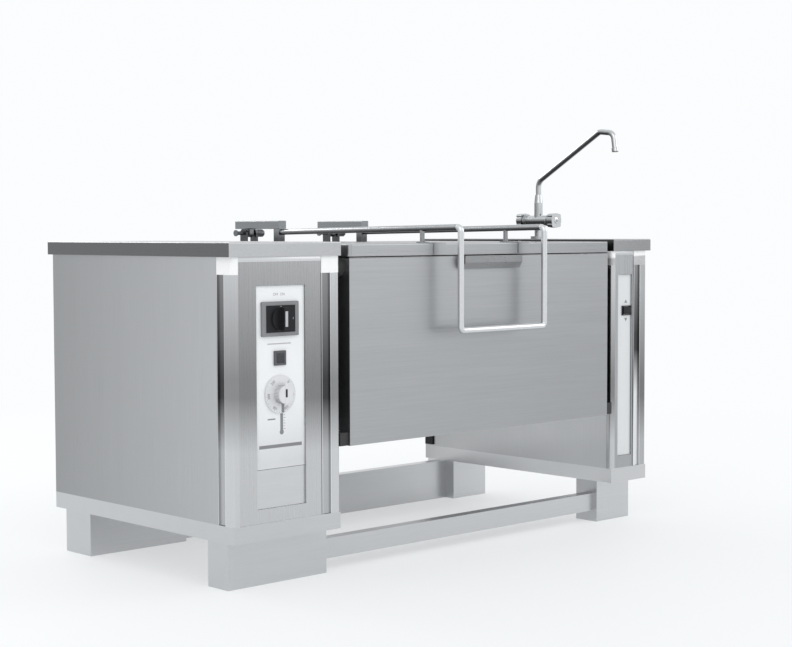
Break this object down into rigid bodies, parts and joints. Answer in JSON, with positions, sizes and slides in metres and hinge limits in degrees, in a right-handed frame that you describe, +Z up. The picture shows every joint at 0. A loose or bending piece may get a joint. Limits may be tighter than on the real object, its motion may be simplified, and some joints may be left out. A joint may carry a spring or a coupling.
{
  "type": "bratt pan",
  "caption": "Free-standing tilting bratt pan: rectangular vessel hung between steel pillars, hinged lid with a tube handle, front controls and a swivel mixer tap.",
  "frame": {"origin": "bottom centre of the machine's bounding box, on the floor under its middle", "axes": "+X to the right seen from the front, along the pan; +Y towards the rear; +Z up"},
  "size_m": [1.7, 1.014, 1.2523],
  "materials": {
    "satin_steel": "brushed stainless sheet",
    "frame_steel": "welded stainless tube, unpolished",
    "bright_steel": "polished stainless tube",
    "chrome": "chromed brass",
    "cast_housing": "painted grey casting",
    "motor_shell": "painted aluminium",
    "heater": "heat-tinted steel",
    "white_panel": "plain white control plate",
    "white_cap": "white moulded cap",
    "grey_steel": "fine brushed steel",
    "black_plastic": "black moulded plastic",
    "grey_plastic": "light grey moulded plastic",
    "black_rubber": "moulded rubber",
    "spring_steel": "oiled spring wire"
  },
  "bodies": {
    "base": {"left_frame": "frame_steel", "right_frame": "frame_steel", "left_outer_panel": "satin_steel", "left_inner_panel": "satin_steel", "right_inner_panel": "satin_steel", "right_outer_panel": "satin_steel", "left_front_panel": "satin_steel", "right_front_panel": "satin_steel", "left_rear_panel": "satin_steel", "right_rear_panel": "satin_steel", "left_base": "satin_steel", "right_base": "satin_steel", "left_top": "satin_steel", "right_top": "satin_steel", "front_columns": "satin_steel", "column_caps": "white_cap", "plinths": "satin_steel", "levelling_feet": "frame_steel", "front_beam": "satin_steel", "rear_beam": "satin_steel", "control_plate": "white_panel", "service_cover": "grey_steel", "switch_plate": "black_plastic", "indicator_lamp": "black_plastic", "switch_gear": "black_plastic", "tilt_strip": "white_panel", "rocker_frame": "black_plastic", "side_buffers": "black_rubber", "trunnion_bearings": "cast_housing", "tilt_gearbox": "cast_housing", "tilt_motor": "motor_shell", "tap_body": "chrome", "water_pipes": "chrome", "cable_gland": "black_plastic", "frame_plug": "black_plastic"},
    "pan": {"pan_vessel": "satin_steel", "pan_front_panel": "satin_steel", "pan_side_panels": "satin_steel", "pan_rear_panel": "satin_steel", "pan_bottom_panel": "satin_steel", "heating_plate": "heater", "heating_elements": "heater", "trunnions": "frame_steel", "trunnion_bushes": "black_rubber", "hinge_rail": "grey_steel", "hinge_pins": "bright_steel", "hinge_springs": "spring_steel"},
    "lid": {"lid_shell": "satin_steel", "lid_liner": "satin_steel", "lid_arms": "bright_steel", "lid_handle": "bright_steel", "arm_posts": "bright_steel", "lid_brackets": "satin_steel", "hinge_bars": "bright_steel"},
    "main_switch": {"switch_knob": "black_plastic"},
    "thermostat": {"thermostat_dial": "grey_plastic"},
    "tilt_button": {"tilt_rocker": "black_plastic"},
    "spout": {"tap_spout": "chrome"},
    "hot_valve": {"hot_handle": "chrome"},
    "cold_valve": {"cold_handle": "chrome"}
  },
  "joints": [
    {"name": "pan_tilt", "type": "hinge", "parent": "base", "child": "pan", "pos_m": [0.095, -0.393, 0.83], "axis": [1, 0, 0], "range_deg": [0, 80]},
    {"name": "lid_hinge", "type": "hinge", "parent": "pan", "child": "lid", "pos_m": [0.095, 0.454, 0.922], "axis": [-1, 0, 0], "range_deg": [0, 80]},
    {"name": "main_switch_turn", "type": "hinge", "parent": "base", "child": "main_switch", "pos_m": [-0.6785, -0.428, 0.702], "axis": [0, 1, 0], "range_deg": [0, 90]},
    {"name": "thermostat_turn", "type": "hinge", "parent": "base", "child": "thermostat", "pos_m": [-0.6785, -0.428, 0.506], "axis": [0, 1, 0], "range_deg": [0, 270]},
    {"name": "tilt_button_rock", "type": "hinge", "parent": "base", "child": "tilt_button", "pos_m": [0.742, -0.427, 0.674], "axis": [1, 0, 0], "range_deg": [-8, 8], "stiffness_Nm_per_rad": 0.3},
    {"name": "spout_swivel", "type": "hinge", "parent": "base", "child": "spout", "pos_m": [0.751, -0.046, 1.02], "axis": [0, 0, 1], "range_deg": [-120, 60]},
    {"name": "hot_valve_turn", "type": "hinge", "parent": "base", "child": "hot_valve", "pos_m": [0.751, -0.108, 0.961], "axis": [0, -1, 0], "range_deg": [0, 270]},
    {"name": "cold_valve_turn", "type": "hinge", "parent": "base", "child": "cold_valve", "pos_m": [0.751, 0.012, 0.961], "axis": [0, 1, 0], "range_deg": [0, 270]}
  ]
}
